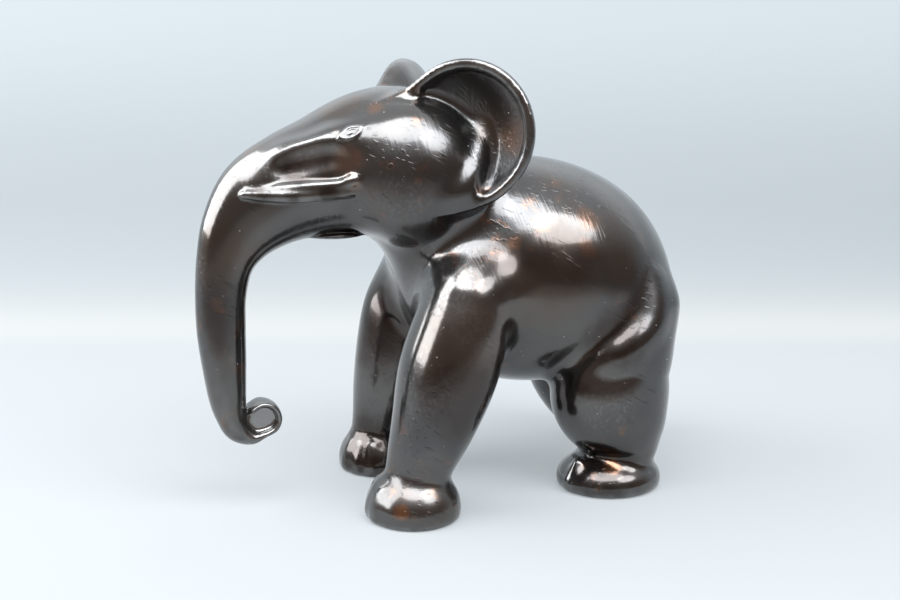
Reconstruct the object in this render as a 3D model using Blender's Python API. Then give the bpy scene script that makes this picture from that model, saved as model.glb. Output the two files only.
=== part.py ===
"""A ceramic elephant figurine, cast in one piece and standing on its own four feet.

It faces -Y, its left side is towards +X and its soles are at Z = 0. The body is one smooth
blend of simple forms: tubes of changing width for torso, head, trunk, legs, tusks and tail,
ellipsoids for temples and feet, and a dished, rimmed leaf for each ear. Every form is a
function that gives the distance from points to its surface. The blend is sampled on a grid,
turned into one closed mesh, thinned out, and cut off flat at the soles.

Lengths are in millimetres here, from the floor point midway between the fore feet. The
finished mesh is in metres, with its origin under the middle of its bounding box.
"""
import math
from typing import Callable, NamedTuple

import bmesh
import bpy
import numpy as np

MM = 0.001  # metres

# ---- sampling and mesh size ----
GRID_STEP = 2.8
GRID_LOW = (-112.0, -144.0, -14.0)
GRID_HIGH = (112.0, 265.0, 312.0)
BEYOND_REACH = 40.0  # a tube is not measured further off than this
TRIANGLES = 9400

# ---- how far each form melts into the one that it joins ----
NECK_BLEND = 20.0
TEMPLE_BLEND, BROW_BLEND, HOLLOW_EDGE = 16.0, 11.0, 7.0
EAR_BLEND, RIDGE_BLEND, EAR_RIM_BLEND = 9.0, 10.0, 4.0
TUSK_BLEND, TUSK_LIP_BLEND, LIP_BLEND, EYE_BLEND = 2.0, 3.0, 5.0, 1.5
TAIL_BLEND, ROLL_BLEND, HAUNCH_BLEND = 3.0, 2.0, 7.0
FOOT_BLEND, TOE_BLEND = 5.0, 5.0
FORE_LEGS_BLEND, HIND_LEGS_BLEND = 6.0, 8.0
SHOULDER_HEIGHTS, SHOULDER_BLENDS = (115.0, 150.0), (9.0, 24.0)
HIP_HEIGHTS, HIP_BLENDS = (80.0, 135.0), (10.0, 16.0)

# ---- head ----
TEMPLE_CENTRE, TEMPLE_RADII = (33.0, 13.0, 231.0), (31.0, 41.0, 42.0)
LIP_CENTRE, LIP_RADII = (0.0, -30.0, 189.0), (22.0, 23.0, 7.0)
EYE_CENTRE, EYE_RADII = (39.5, -34.5, 254.6), (3.8, 8.5, 4.4)

# ---- rolled tip of the trunk ----
ROLL_Y, ROLL_Z, ROLL_RADIUS = -88.7, 62.2, 12.0
ROLL_HALF_WIDTH, ROLL_THICK, ROLL_THIN = 9.6, 3.2, 2.1
ROLL_DISC_RADIUS, ROLL_DISC_HALF_WIDTH = 10.5, 4.6

# ---- ears: a dish seen from its open side, standing out at 45 degrees ----
EAR_CENTRE = (56.0, 38.5, 254.7)
EAR_RADIUS, EAR_DEPTH, EAR_HALF_WALL, EAR_RIM = 46.0, 19.0, 2.6, 3.4
EAR_ROOT_REACH, EAR_ROOT_ANGLE, EAR_ROOT_SPREAD = 13.0, math.radians(178), math.radians(26)
EAR_DROP_REACH, EAR_DROP_ANGLE, EAR_DROP_SPREAD = 3.4, math.radians(-88), math.radians(28)
EAR_DISH_POWER, EAR_STEEPEST = 2.4, 1.6

# ---- feet ----
FOOT_WIDEST_AT = 6.0
TOE_SPREAD = math.radians(21)
TOE_TOP, TOE_BOTTOM = (8.4, 21.0, 3.6), (3.2, 6.0, 4.2)  # inset from the foot, height, radius
SOLE_BEVEL, SOLE_OVERLAP = 2.4, 0.5

COLOUR = (0.062, 0.050, 0.043, 1.0)
ROUGHNESS, METALLIC = 0.16, 0.75


class Section(NamedTuple):
    """One cross-section of a tube: its centre and its three half sizes."""

    x: float
    y: float
    z: float
    width: float
    outer: float
    inner: float


class Foot(NamedTuple):
    """A flared foot: centre on the floor, half sizes, height, and where its toes point."""

    x: float
    y: float
    half_width: float
    half_length: float
    height: float
    toes_turned: float


def central(*rows: tuple[float, ...]) -> list[Section]:
    """Sections on the middle plane, from rows of y, z, width, outer and inner."""
    return [Section(0.0, *row) for row in rows]


def limb(x: float, *rows: tuple[float, ...]) -> list[Section]:
    """Sections of a leg at one distance from the middle plane."""
    return [Section(x, *row) for row in rows]


def rounded(*rows: tuple[float, ...]) -> list[Section]:
    """Round sections, from rows of x, y, z and radius."""
    return [Section(x, y, z, radius, radius, radius) for x, y, z, radius in rows]


TORSO = central((69, 166, 54, 57, 57), (95, 152, 78, 78, 82), (132, 144, 82, 75, 81),
                (155, 127, 78, 60, 68), (169, 112, 65, 49, 53.5))
HEAD_AND_TRUNK = central(
    (52, 196, 50, 46, 50), (17, 221, 57, 58.5, 48), (-5, 227, 50, 54.5, 45),
    (-35, 227, 41, 40.5, 42), (-60, 219, 33, 37, 36), (-80, 206, 26.5, 36.5, 28),
    (-96, 190, 21, 29, 21), (-106, 172, 17.5, 22.2, 16), (-111.5, 150, 14.8, 18.4, 15.2),
    (-114, 127, 14, 16, 16.4), (-115, 105, 13.8, 12.8, 17), (-113.5, 80, 12.6, 10.6, 14.6),
    (-111, 66, 11.2, 8.8, 11.6), (-106, 56, 10.2, 8.2, 9.4), (-97, 50, 9.8, 5.4, 6))
BROW = rounded((33, -14, 248, 11), (31, -39, 249, 8.5), (26.5, -56.5, 244, 7),
               (20, -73, 238.5, 6), (18, -82, 231, 5), (17.5, -88, 224, 4))
CHEEK_HOLLOW = rounded((40, -50, 237, 7), (37.5, -58, 236, 9.5), (33, -69, 234, 9.5),
                       (29, -77.5, 231.5, 6.5))
TUSK = rounded((41, -32, 218.5, 3.5), (40.5, -42, 217.5, 4.4), (33.5, -69.5, 215.7, 4.4),
               (27.5, -87, 215.8, 3.8), (21, -101, 216.3, 2.2))
TUSK_LIP = rounded((41.5, -26, 223.5, 3), (43.5, -34.5, 225, 4.2), (41.5, -43, 222.5, 3.4),
                   (36, -60.5, 221.5, 3.0), (28.5, -81, 220, 2.6), (20.5, -97.5, 218.2, 1.6))
HAUNCH = rounded((64, 172, 148, 11), (74, 168, 123, 13), (79, 151, 107, 13), (76, 136, 96, 11.5),
                 (64, 124, 86, 8))
EAR_RIDGE = rounded((46, 54, 254, 3), (50, 50.5, 246, 4.5), (53, 48, 238, 5.5),
                    (55.5, 43.5, 230, 6.5), (57.5, 37.5, 221, 7.5), (58, 31, 215.5, 7.5),
                    (56.5, 23, 213.5, 5.5))
TAIL = rounded((0, 203, 172, 6), (0, 216, 150, 5), (0, 221, 125, 4.5), (0, 221, 104, 4.5),
               (0, 218, 86, 5.4), (0, 214, 76, 2))

FORE_LEFT = limb(57, (38, 142, 29, 28, 31), (31, 120, 34, 31, 34), (24, 94, 35, 33, 33),
                 (14.5, 64, 30.5, 28, 28), (5, 38, 24.5, 22.7, 22.7), (0, 18, 21, 21, 21))
FORE_RIGHT = limb(-46, (52, 142, 29, 33, 32), (42, 120, 33.5, 38.5, 35), (34, 94, 33, 37, 33),
                  (24, 64, 29.5, 30.5, 27.5), (15, 38, 24, 22.7, 22.7), (11, 18, 21, 21, 21))
HIND_LEFT = limb(54, (177, 127, 26, 23, 24.5), (162, 98, 35, 37, 35.5),
                 (156.5, 84, 35.5, 39.5, 38.5), (150, 68, 37, 42, 46), (155, 49, 36, 31.5, 39),
                 (162, 33, 31, 23.5, 26), (158, 20, 29, 26, 23.5))
HIND_RIGHT = limb(-44, (181, 124, 24, 24, 24), (176, 98, 35, 40, 39), (180, 72, 36, 44, 42),
                  (190, 52, 34, 43, 37), (204, 33, 30, 38, 31), (211, 20, 29, 33, 30))
FORE_LEFT_FOOT = Foot(58, -0.8, 32.8, 31.8, 28, math.radians(-12))
FORE_RIGHT_FOOT = Foot(-45, 13, 32.5, 32, 28, math.radians(32))
HIND_LEFT_FOOT = Foot(57, 150.5, 35.3, 38, 20, math.radians(12))
HIND_RIGHT_FOOT = Foot(-43, 212, 34, 37, 20, math.radians(-10))

Field = Callable[[np.ndarray], np.ndarray]


# ---------------------------------------------------------------------------
# Distances
# ---------------------------------------------------------------------------
def blend(first: np.ndarray, second: np.ndarray, radius) -> np.ndarray:
    """The union of two forms, with a fillet of about the given radius."""
    share = np.clip(0.5 + 0.5 * (second - first) / radius, 0.0, 1.0)
    return second * (1.0 - share) + first * share - radius * share * (1.0 - share)


def trim(first: np.ndarray, second: np.ndarray, radius: float) -> np.ndarray:
    """What two forms have in common, with its edge rounded."""
    return -blend(-first, -second, radius)


def ellipsoid(points: np.ndarray, centre, radii) -> np.ndarray:
    """Distance to an ellipsoid lined up with the axes."""
    offset = points - np.asarray(centre, points.dtype)
    sizes = np.asarray(radii, points.dtype)
    reach = np.sqrt(((offset / sizes) ** 2).sum(axis=1))
    slope = np.sqrt(((offset / sizes**2) ** 2).sum(axis=1)) + 1e-9
    return reach * (reach - 1.0) / slope


def smooth_path(sections: list[Section], steps: int) -> np.ndarray:
    """More sections, on the Catmull-Rom spline through the given ones."""
    rows = np.asarray(sections, float)
    rows = np.vstack([2 * rows[0] - rows[1], rows, 2 * rows[-1] - rows[-2]])
    t = np.arange(steps)[:, None] / steps
    spans = [0.5 * (2 * b + (c - a) * t + (2 * a - 5 * b + 4 * c - d) * t**2
                    + (3 * b - a - 3 * c + d) * t**3)
             for a, b, c, d in zip(rows, rows[1:], rows[2:], rows[3:])]
    return np.vstack([*spans, rows[-2:-1]])


def tube(points: np.ndarray, sections: list[Section], steps: int = 6) -> np.ndarray:
    """Distance to a round-ended tube through the sections.

    A section's width is measured along X. Its outer half is above a run towards -Y and in
    front of a run downwards, and its inner half is on the other side.
    """
    path = smooth_path(sections, steps)
    largest = path[:, 3:].max()
    far = largest + BEYOND_REACH
    low, high = path[:, :3].min(axis=0) - far, path[:, :3].max(axis=0) + far
    near = np.all((points > low) & (points < high), axis=1)
    local = points[near]
    best = np.full(len(local), far, points.dtype)
    for start, end in zip(path[:-1], path[1:]):
        run = end[:3] - start[:3]
        length = np.linalg.norm(run)
        along = run / length
        across = np.array((1.0, 0.0, 0.0)) - along * along[0]
        across /= np.linalg.norm(across)
        normal = np.cross(along, across)
        offset = local - start[:3].astype(points.dtype)
        axes = np.stack([across, normal, along], axis=1).astype(points.dtype)
        side, out, ahead = (offset @ axes).T
        part = np.clip(ahead / length, 0.0, 1.0)
        size = start[3:] + part[:, None] * (end[3:] - start[3:])
        thick = np.where(out > 0.0, size[:, 1], size[:, 2])
        cap = 0.5 * (size[:, 1] + size[:, 2])
        scaled = np.stack([side / size[:, 0], out / thick, (ahead - part * length) / cap])
        reach = np.sqrt((scaled**2).sum(axis=0)) + 1e-6
        slope = np.sqrt(((scaled / np.stack([size[:, 0], thick, cap])) ** 2).sum(axis=0)) + 1e-9
        best = np.minimum(best, reach * (reach - 1.0) / slope)
    distance = np.full(len(points), far, points.dtype)
    distance[near] = best
    return distance


# ---------------------------------------------------------------------------
# Parts of the animal
# ---------------------------------------------------------------------------
def bump(angle: np.ndarray, middle: float, spread: float) -> np.ndarray:
    """A smooth rise round one direction, 1 at its middle."""
    turn = (angle - middle + math.pi) % (2 * math.pi) - math.pi
    return np.exp(-((turn / spread) ** 2))


def ear(points: np.ndarray) -> np.ndarray:
    """A dished leaf with a beaded rim, drawn out where it joins the head and at its lobe."""
    half = math.sqrt(0.5)
    offset = points - np.asarray(EAR_CENTRE, points.dtype)
    outward = (offset[:, 0] + offset[:, 1]) * half
    facing = (offset[:, 0] - offset[:, 1]) * half
    upward = offset[:, 2]
    distance = np.hypot(outward, upward)
    angle = np.arctan2(upward, outward)
    radius = (EAR_RADIUS + EAR_ROOT_REACH * bump(angle, EAR_ROOT_ANGLE, EAR_ROOT_SPREAD)
              + EAR_DROP_REACH * bump(angle, EAR_DROP_ANGLE, EAR_DROP_SPREAD))
    share = np.clip(distance / radius, 0.0, 1.3)
    dish = -EAR_DEPTH * (1.0 - share**EAR_DISH_POWER)
    slope = EAR_DISH_POWER * EAR_DEPTH * share ** (EAR_DISH_POWER - 1.0) / radius
    steepness = np.sqrt(1.0 + np.minimum(slope, EAR_STEEPEST) ** 2)
    leaf = np.abs(facing - dish) / steepness - EAR_HALF_WALL
    leaf = trim(leaf, distance - radius + 1.0, 2.0)
    rim = np.hypot(distance - radius + EAR_RIM, facing - 1.0) - EAR_RIM
    return blend(leaf, rim, EAR_RIM_BLEND)


def trunk_roll() -> list[Section]:
    """The tip of the trunk: once round under itself, thinning to an edge."""
    turns = np.radians([-88, -42, 2, 48, 92, 138])
    thickness = np.linspace(ROLL_THICK, ROLL_THIN, len(turns))
    return [Section(0.0, ROLL_Y + math.cos(turn) * (ROLL_RADIUS - thin / 2),
                    ROLL_Z + math.sin(turn) * (ROLL_RADIUS - thin / 2),
                    ROLL_HALF_WIDTH, thin, thin)
            for turn, thin in zip(turns, thickness)]


def head(points: np.ndarray, mirrored: np.ndarray) -> np.ndarray:
    """Head and trunk in one, with temples, brows, hollow cheeks and the rolled tip."""
    skull = tube(points, HEAD_AND_TRUNK + trunk_roll())
    skull = blend(skull, ellipsoid(mirrored, TEMPLE_CENTRE, TEMPLE_RADII), TEMPLE_BLEND)
    skull = blend(skull, tube(mirrored, BROW), BROW_BLEND)
    skull = trim(skull, -tube(mirrored, CHEEK_HOLLOW), HOLLOW_EDGE)
    disc = np.hypot(points[:, 1] - ROLL_Y, points[:, 2] - ROLL_Z) - ROLL_DISC_RADIUS
    disc = trim(disc, np.abs(points[:, 0]) - ROLL_DISC_HALF_WIDTH, ROLL_BLEND)
    return blend(skull, disc, ROLL_BLEND)


def face(body: np.ndarray, points: np.ndarray, mirrored: np.ndarray) -> np.ndarray:
    """The body with tusks, the folds above them, lower lip and eyes."""
    body = blend(body, tube(mirrored, TUSK), TUSK_BLEND)
    body = blend(body, tube(mirrored, TUSK_LIP), TUSK_LIP_BLEND)
    body = blend(body, ellipsoid(points, LIP_CENTRE, LIP_RADII), LIP_BLEND)
    return blend(body, ellipsoid(mirrored, EYE_CENTRE, EYE_RADII), EYE_BLEND)


def leg(points: np.ndarray, sections: list[Section], foot: Foot) -> np.ndarray:
    """A leg on its flared foot, with three toes raised on the front."""
    radii = (foot.half_width, foot.half_length, foot.height)
    flare = ellipsoid(points, (foot.x, foot.y, FOOT_WIDEST_AT), radii)
    form = blend(tube(points, sections), flare, FOOT_BLEND)
    for place in (-1, 0, 1):
        angle = foot.toes_turned + place * TOE_SPREAD
        toe = [(foot.x + math.sin(angle) * (foot.half_width - inset),
                foot.y - math.cos(angle) * (foot.half_length - inset), z, radius)
               for inset, z, radius in (TOE_TOP, TOE_BOTTOM)]
        form = blend(form, tube(points, rounded(*toe), 1), TOE_BLEND)
    return form


def elephant(points: np.ndarray) -> np.ndarray:
    """Distance from each point to the whole figure."""
    points = points.astype(np.float32)
    mirrored = points.copy()
    mirrored[:, 0] = np.abs(points[:, 0])
    height = points[:, 2]
    body = blend(tube(points, TORSO), head(points, mirrored), NECK_BLEND)
    body = blend(body, blend(ear(mirrored), tube(mirrored, EAR_RIDGE), RIDGE_BLEND), EAR_BLEND)
    fore = blend(leg(points, FORE_LEFT, FORE_LEFT_FOOT),
                 leg(points, FORE_RIGHT, FORE_RIGHT_FOOT), FORE_LEGS_BLEND)
    hind = blend(leg(points, HIND_LEFT, HIND_LEFT_FOOT),
                 leg(points, HIND_RIGHT, HIND_RIGHT_FOOT), HIND_LEGS_BLEND)
    body = blend(body, fore, np.interp(height, SHOULDER_HEIGHTS, SHOULDER_BLENDS))
    body = blend(body, hind, np.interp(height, HIP_HEIGHTS, HIP_BLENDS))
    body = blend(body, tube(points, TAIL), TAIL_BLEND)
    body = blend(body, tube(points, HAUNCH), HAUNCH_BLEND)
    body = face(body, points, mirrored)
    return trim(body, -height - SOLE_OVERLAP, SOLE_BEVEL)


# ---------------------------------------------------------------------------
# From distances to a mesh
# ---------------------------------------------------------------------------
def grid_points(low: np.ndarray, step: float, counts: np.ndarray) -> np.ndarray:
    """The points of a regular grid, one row each."""
    axes = [start + step * np.arange(count) for start, count in zip(low, counts)]
    return np.stack([axis.ravel() for axis in np.meshgrid(*axes, indexing="ij")], axis=1)


def sample(field: Field, step: float) -> tuple[np.ndarray, float]:
    """Distances on the grid: coarse everywhere, then twice finer near the surface only."""
    low, high = np.array(GRID_LOW), np.array(GRID_HIGH)
    step *= 4
    counts = np.ceil((high - low) / step).astype(int) + 1
    values = field(grid_points(low, step, counts)).reshape(counts)
    for _ in range(2):
        finer = np.zeros(2 * counts - 1, np.float32)
        finer[::2, ::2, ::2] = values
        finer[1::2, ::2, ::2] = (finer[:-1:2, ::2, ::2] + finer[2::2, ::2, ::2]) / 2
        finer[:, 1::2, ::2] = (finer[:, :-1:2, ::2] + finer[:, 2::2, ::2]) / 2
        finer[:, :, 1::2] = (finer[:, :, :-1:2] + finer[:, :, 2::2]) / 2
        near = np.abs(finer) < 1.5 * step
        step, counts = step / 2, 2 * counts - 1
        finer[near] = field(grid_points(low, step, counts)[near.ravel()])
        values = finer
    return values, step


def untangle(values: np.ndarray, step: float) -> None:
    """Flip the least certain corner wherever the signs meet only across a diagonal.

    There the surface would touch itself along an edge or at a point.
    """
    unit = np.eye(3, dtype=int)
    squares = [(0 * unit[0], unit[i], unit[j], unit[i] + unit[j])
               for i, j in ((0, 1), (1, 2), (0, 2))]
    cube = [np.array(corner) for corner in np.ndindex(2, 2, 2)]
    limit = np.array(values.shape) - 1
    for _ in range(30):
        inside = values < 0.0
        changed = 0
        for corners in (*squares, cube):
            signs = [inside[tuple(slice(c, n + c) for c, n in zip(corner, limit))]
                     for corner in corners]
            number = sum(sign.astype(np.int8) for sign in signs)
            half = len(signs) // 2
            opposite = [signs[i] == signs[-1 - i] for i in range(half)]
            if len(signs) == 4:
                tangled = (number == 2) & opposite[0] & opposite[1]
            else:
                tangled = ((number == 2) | (number == 6)) & np.all(opposite, axis=0)
            start = np.argwhere(tangled)
            places = np.stack([start + corner for corner in corners])
            found = values[tuple(np.moveaxis(places, -1, 0))]
            if len(start):
                least = np.abs(found).argmin(axis=0)
                chosen = places[least, np.arange(len(start))]
                before = values[tuple(chosen.T)]
                values[tuple(chosen.T)] = np.where(before < 0.0, 0.05, -0.05) * step
                changed += len(start)
        if not changed:
            return


def surface_net(values: np.ndarray, step: float) -> tuple[np.ndarray, np.ndarray]:
    """Vertices and quads of the zero level: one vertex for each cell that it passes."""
    untangle(values, step)
    inside = values < 0.0
    counts = np.array(values.shape)
    corners = sum(inside[tuple(slice(c, n - 1 + c) for c, n in zip(corner, counts))].astype(np.int8)
                  for corner in np.ndindex(2, 2, 2))
    crossed = (corners > 0) & (corners < 8)
    cells = np.argwhere(crossed)
    number = np.full(counts - 1, -1)
    number[crossed] = np.arange(len(cells))
    total, hits = np.zeros((len(cells), 3)), np.zeros(len(cells))
    quads = []
    for axis in range(3):
        first, second = (axis + 1) % 3, (axis + 2) % 3
        ahead = np.eye(3, dtype=int)[axis]
        for j, k in ((0, 0), (0, 1), (1, 0), (1, 1)):
            start = cells + j * np.eye(3, dtype=int)[first] + k * np.eye(3, dtype=int)[second]
            here, there = values[tuple(start.T)], values[tuple((start + ahead).T)]
            crosses = (here < 0) != (there < 0)
            place = start + ahead * (here / np.where(crosses, here - there, 1.0))[:, None]
            total[crosses] += place[crosses]
            hits[crosses] += 1
        near, beyond = [slice(1, -1)] * 3, [slice(1, -1)] * 3
        near[axis], beyond[axis] = slice(0, -1), slice(1, None)
        here, there = inside[tuple(near)], inside[tuple(beyond)]
        for leaving, order in ((here & ~there, 1), (~here & there, -1)):
            edges = np.argwhere(leaving)
            edges[:, [first, second]] += 1
            ring = []
            for j, k in ((0, 0), (-1, 0), (-1, -1), (0, -1))[::order]:
                cell = edges + j * np.eye(3, dtype=int)[first] + k * np.eye(3, dtype=int)[second]
                ring.append(number[tuple(cell.T)])
            quads.append(np.stack(ring, axis=1))
    return np.array(GRID_LOW) + step * total / hits[:, None], np.vstack(quads)


def settle(field: Field, vertices: np.ndarray, rounds: int = 2) -> np.ndarray:
    """Vertices moved along the slope of the field, onto its surface."""
    for _ in range(rounds):
        value = field(vertices).astype(float)
        slope = np.stack([field(vertices + axis) - field(vertices - axis)
                          for axis in 0.5 * np.eye(3)], axis=1)
        square = np.maximum((slope**2).sum(axis=1), 0.25)
        vertices = vertices - np.clip(value / square, -1.5, 1.5)[:, None] * slope
    return vertices


# ---------------------------------------------------------------------------
# Blender objects
# ---------------------------------------------------------------------------
def thinned(mesh: bpy.types.Mesh, triangles: int) -> bpy.types.Mesh:
    """The mesh with about the given number of triangles."""
    scratch = bpy.data.objects.new("scratch", mesh)
    bpy.context.scene.collection.objects.link(scratch)
    decimate = scratch.modifiers.new("Thin out", "DECIMATE")
    decimate.ratio = triangles / (2 * len(mesh.polygons))
    graph = bpy.context.evaluated_depsgraph_get()
    result = bpy.data.meshes.new_from_object(scratch.evaluated_get(graph))
    bpy.data.objects.remove(scratch)
    return result


def cut_soles(mesh: bpy.types.Mesh) -> None:
    """Cut the mesh off at the floor, fill the soles flat, and centre it over its origin."""
    bm = bmesh.new()
    bm.from_mesh(mesh)
    geometry = [*bm.verts, *bm.edges, *bm.faces]
    bmesh.ops.bisect_plane(bm, geom=geometry, dist=1e-6, plane_co=(0, 0, 0), plane_no=(0, 0, -1),
                           clear_outer=True)
    rim = [vertex for vertex in bm.verts if abs(vertex.co.z) < 1e-5]
    bmesh.ops.remove_doubles(bm, verts=rim, dist=0.4 * MM)
    for vertex in bm.verts:
        if abs(vertex.co.z) < 1e-5:
            vertex.co.z = 0.0
    bmesh.ops.holes_fill(bm, edges=[edge for edge in bm.edges if edge.is_boundary])
    bmesh.ops.triangulate(bm, faces=bm.faces)
    middle = [(min(v.co[axis] for v in bm.verts) + max(v.co[axis] for v in bm.verts)) / 2
              for axis in (0, 1)]
    bmesh.ops.translate(bm, verts=bm.verts, vec=(-middle[0], -middle[1], 0.0))
    bmesh.ops.recalc_face_normals(bm, faces=bm.faces)
    bm.to_mesh(mesh)
    bm.free()


def glaze() -> bpy.types.Material:
    """Dark, lustrous metallic glaze."""
    material = bpy.data.materials.new("glaze")
    material.use_nodes = True
    shader = material.node_tree.nodes["Principled BSDF"]
    shader.inputs["Base Color"].default_value = COLOUR
    shader.inputs["Roughness"].default_value = ROUGHNESS
    shader.inputs["Metallic"].default_value = METALLIC
    return material


def build_elephant() -> bpy.types.Object:
    """The whole figure as one closed mesh object."""
    vertices, quads = surface_net(*sample(elephant, GRID_STEP))
    vertices = settle(elephant, vertices) * MM
    dense = bpy.data.meshes.new("dense")
    dense.from_pydata(vertices.tolist(), [], quads.tolist())
    mesh = thinned(dense, TRIANGLES)
    bpy.data.meshes.remove(dense)
    cut_soles(mesh)
    mesh.name = "elephant"
    mesh.materials.append(glaze())
    figure = bpy.data.objects.new("elephant", mesh)
    bpy.context.scene.collection.objects.link(figure)
    return figure


def main() -> None:
    for item in list(bpy.data.objects):
        bpy.data.objects.remove(item)
    build_elephant()


if __name__ == "__main__":
    main()
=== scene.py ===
"""A dark lustre-glazed ceramic elephant on a pale studio table.

The figure is one smooth blend of simple forms. Each form gives the distance from points to its
surface, so the blend can be sampled on a grid and turned into one closed skin. Fine relief is
blended in the same way. The glaze is a procedural material, dust and grains are scattered with
Geometry Nodes, and a small studio of soft lights stands round the table.

Forms are laid out in millimetres from the floor point midway between the fore feet: the elephant
faces -Y and its left side is towards +X. The finished skin is in metres, in the part's own frame.
"""
import logging
import math
from dataclasses import dataclass, field
from enum import Enum
from typing import NamedTuple, Protocol, Sequence

import bmesh
import bpy
import numpy as np
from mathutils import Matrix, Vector


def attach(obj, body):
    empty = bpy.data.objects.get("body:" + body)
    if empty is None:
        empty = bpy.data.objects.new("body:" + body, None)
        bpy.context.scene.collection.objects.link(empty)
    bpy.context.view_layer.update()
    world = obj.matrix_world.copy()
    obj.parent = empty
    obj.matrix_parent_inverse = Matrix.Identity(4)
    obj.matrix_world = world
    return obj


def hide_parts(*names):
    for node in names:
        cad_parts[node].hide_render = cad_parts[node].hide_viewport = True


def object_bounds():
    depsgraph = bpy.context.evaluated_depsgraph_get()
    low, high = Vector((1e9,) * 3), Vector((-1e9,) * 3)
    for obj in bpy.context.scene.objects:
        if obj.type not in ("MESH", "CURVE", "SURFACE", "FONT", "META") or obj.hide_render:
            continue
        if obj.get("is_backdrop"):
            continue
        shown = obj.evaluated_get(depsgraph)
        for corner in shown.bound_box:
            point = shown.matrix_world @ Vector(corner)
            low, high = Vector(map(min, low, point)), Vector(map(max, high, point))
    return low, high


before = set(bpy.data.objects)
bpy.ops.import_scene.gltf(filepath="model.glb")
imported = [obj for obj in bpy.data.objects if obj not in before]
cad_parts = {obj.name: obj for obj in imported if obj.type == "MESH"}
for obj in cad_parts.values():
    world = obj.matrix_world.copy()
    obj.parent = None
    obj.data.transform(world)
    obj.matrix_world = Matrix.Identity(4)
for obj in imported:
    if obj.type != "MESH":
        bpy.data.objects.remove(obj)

LOG = logging.getLogger("elephant")
MM = 0.001
SKIN_STEP, QUICK_STEP = 2.4, 3.2

Rgba = tuple[float, float, float, float]
Vec3 = tuple[float, float, float]
Distance = np.ndarray | float


# ---------------------------------------------------------------------------
# Blending of distances
# ---------------------------------------------------------------------------
def melt(first: np.ndarray, second: np.ndarray, radius: Distance) -> np.ndarray:
    """Join two forms with a fillet.

    Args:
        first: Distances to one form.
        second: Distances to the other form.
        radius: About the radius of the fillet between them.

    Returns:
        Distances to the joined form.
    """
    share = np.clip(0.5 + 0.5 * (second - first) / radius, 0.0, 1.0)
    return second * (1.0 - share) + first * share - radius * share * (1.0 - share)


def trim(first: np.ndarray, second: np.ndarray, radius: float) -> np.ndarray:
    """Keep what two forms have in common, with a rounded edge.

    Args:
        first: Distances to one form.
        second: Distances to the other form.
        radius: About the radius of the edge.

    Returns:
        Distances to the common part.
    """
    return -melt(-first, -second, radius)


def mirrored(points: np.ndarray) -> np.ndarray:
    """Fold the right half of space onto the left.

    Args:
        points: One point in each row.

    Returns:
        The points with their X made positive.
    """
    folded = points.copy()
    folded[:, 0] = np.abs(folded[:, 0])
    return folded


# ---------------------------------------------------------------------------
# Simple forms
# ---------------------------------------------------------------------------
class Form(Protocol):
    """Anything that can tell how far points are from its surface."""

    def distance(self, points: np.ndarray) -> np.ndarray:
        """Signed distance in millimetres, negative inside."""


class Section(NamedTuple):
    """One cross-section of a tube: its centre and its three half sizes."""

    x: float
    y: float
    z: float
    width: float
    outer: float
    inner: float


def central(*rows: Sequence[float]) -> tuple[Section, ...]:
    """Sections on the middle plane, from rows of y, z, width, outer and inner."""
    return tuple(Section(0.0, *row) for row in rows)


def limb(x: float, *rows: Sequence[float]) -> tuple[Section, ...]:
    """Sections of a leg at one distance from the middle plane."""
    return tuple(Section(x, *row) for row in rows)


def rounded(*rows: Sequence[float]) -> tuple[Section, ...]:
    """Round sections, from rows of x, y, z and radius."""
    return tuple(Section(x, y, z, radius, radius, radius) for x, y, z, radius in rows)


@dataclass(frozen=True)
class Ellipsoid:
    """An ellipsoid lined up with the axes."""

    centre: Vec3
    radii: Vec3

    def distance(self, points: np.ndarray) -> np.ndarray:
        """Signed distance in millimetres, negative inside."""
        offset = points - np.asarray(self.centre, points.dtype)
        sizes = np.asarray(self.radii, points.dtype)
        reach = np.sqrt(((offset / sizes) ** 2).sum(axis=1))
        slope = np.sqrt(((offset / sizes**2) ** 2).sum(axis=1)) + 1e-9
        return reach * (reach - 1.0) / slope


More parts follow.
